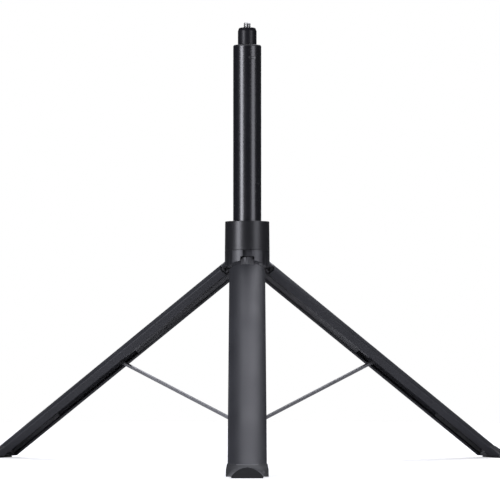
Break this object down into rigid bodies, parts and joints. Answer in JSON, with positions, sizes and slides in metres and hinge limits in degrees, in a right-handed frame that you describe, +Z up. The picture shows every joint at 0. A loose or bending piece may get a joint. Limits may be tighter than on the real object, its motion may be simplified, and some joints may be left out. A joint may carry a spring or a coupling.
{
  "type": "selfie stick tripod",
  "caption": "Telescopic selfie stick with a camera screw on top and fold-out channel legs, held open by struts from a base hub on the sliding pole.",
  "frame": {"origin": "on the floor, under the middle of the open object's bounding box", "axes": "+Z up along the pole, which stands behind the origin on +Y; the front leg runs towards -Y and the other two spread towards +X and -X"},
  "size_m": [0.4592, 0.3982, 0.3758],
  "materials": {
    "gloss_tube": "gloss black anodised",
    "leg_grey": "satin dark grey anodised",
    "satin_black": "fine-grained satin black moulding",
    "head_black": "satin black anodised, turned",
    "dark_plastic": "fine-grained black moulding",
    "liner_plastic": "fine-grained dark grey moulding",
    "nylon": "smooth grey nylon",
    "steel": "plain pressed steel",
    "bright_steel": "bright nickel plate",
    "rubber": "matt black rubber"
  },
  "bodies": {
    "collar": {"collar_sleeve": "satin_black", "collar_bush": "nylon", "leg_hub": "satin_black", "hinge_pin_1": "steel", "hinge_pin_2": "steel", "hinge_pin_3": "steel"},
    "column": {"outer_tube": "gloss_tube", "guide_ring_1": "dark_plastic", "base_hub": "dark_plastic", "base_cap": "rubber"},
    "leg_1": {"leg_shell_1": "leg_grey", "leg_liner_1": "liner_plastic", "strut_head_pin_1": "steel", "foot_boot_1": "liner_plastic", "foot_pad_1": "rubber"},
    "strut_1": {"strut_1": "steel", "strut_foot_pin_1": "steel"},
    "leg_2": {"leg_shell_2": "leg_grey", "leg_liner_2": "liner_plastic", "strut_head_pin_2": "steel", "foot_boot_2": "liner_plastic", "foot_pad_2": "rubber"},
    "strut_2": {"strut_2": "steel", "strut_foot_pin_2": "steel"},
    "leg_3": {"leg_shell_3": "leg_grey", "leg_liner_3": "liner_plastic", "strut_head_pin_3": "steel", "foot_boot_3": "liner_plastic", "foot_pad_3": "rubber"},
    "strut_3": {"strut_3": "steel", "strut_foot_pin_3": "steel"},
    "section_2": {"tube_2": "gloss_tube", "bush_2": "nylon", "guide_ring_2": "dark_plastic"},
    "section_3": {"tube_3": "gloss_tube", "bush_3": "nylon", "guide_ring_3": "dark_plastic"},
    "section_4": {"tube_4": "gloss_tube", "bush_4": "nylon", "guide_ring_4": "dark_plastic"},
    "section_5": {"tube_5": "gloss_tube", "bush_5": "nylon", "pole_head": "head_black", "head_pad": "rubber", "camera_screw": "bright_steel"}
  },
  "joints": [
    {"name": "column_slide", "type": "slide", "parent": "collar", "child": "column", "axis": [0, 0, 1], "range_m": [-0.1377, 0]},
    {"name": "leg_hinge_1", "type": "hinge", "parent": "collar", "child": "leg_1", "pos_m": [0, 0.04119, 0.1716], "axis": [1, 0, 0], "range_deg": [0, 55.2]},
    {"name": "strut_hinge_1", "type": "hinge", "parent": "leg_1", "child": "strut_1", "pos_m": [0, -0.07547, 0.0887], "axis": [1, 0, 0], "range_deg": [-121.74, 0]},
    {"name": "leg_hinge_2", "type": "hinge", "parent": "collar", "child": "leg_2", "pos_m": [0.01429, 0.06594, 0.1716], "axis": [-0.5, 0.866, 0], "range_deg": [0, 55.2]},
    {"name": "strut_hinge_2", "type": "hinge", "parent": "leg_2", "child": "strut_2", "pos_m": [0.11531, 0.12426, 0.0887], "axis": [-0.5, 0.866, 0], "range_deg": [-121.74, 0]},
    {"name": "leg_hinge_3", "type": "hinge", "parent": "collar", "child": "leg_3", "pos_m": [-0.01429, 0.06594, 0.1716], "axis": [-0.5, -0.866, 0], "range_deg": [0, 55.2]},
    {"name": "strut_hinge_3", "type": "hinge", "parent": "leg_3", "child": "strut_3", "pos_m": [-0.11531, 0.12426, 0.0887], "axis": [-0.5, -0.866, 0], "range_deg": [-121.74, 0]},
    {"name": "section_slide_2", "type": "slide", "parent": "column", "child": "section_2", "axis": [0, 0, 1], "range_m": [0, 0.26]},
    {"name": "section_slide_3", "type": "slide", "parent": "section_2", "child": "section_3", "axis": [0, 0, 1], "range_m": [0, 0.25]},
    {"name": "section_slide_4", "type": "slide", "parent": "section_3", "child": "section_4", "axis": [0, 0, 1], "range_m": [0, 0.24]},
    {"name": "section_slide_5", "type": "slide", "parent": "section_4", "child": "section_5", "axis": [0, 0, 1], "range_m": [0, 0.23]}
  ],
  "couplings": [
    {"joint": "leg_hinge_1", "follows": "column_slide", "rad_per_m": -6.9962},
    {"joint": "strut_hinge_1", "follows": "column_slide", "rad_per_m": 15.428},
    {"joint": "leg_hinge_2", "follows": "column_slide", "rad_per_m": -6.9962},
    {"joint": "strut_hinge_2", "follows": "column_slide", "rad_per_m": 15.428},
    {"joint": "leg_hinge_3", "follows": "column_slide", "rad_per_m": -6.9962},
    {"joint": "strut_hinge_3", "follows": "column_slide", "rad_per_m": 15.428}
  ]
}
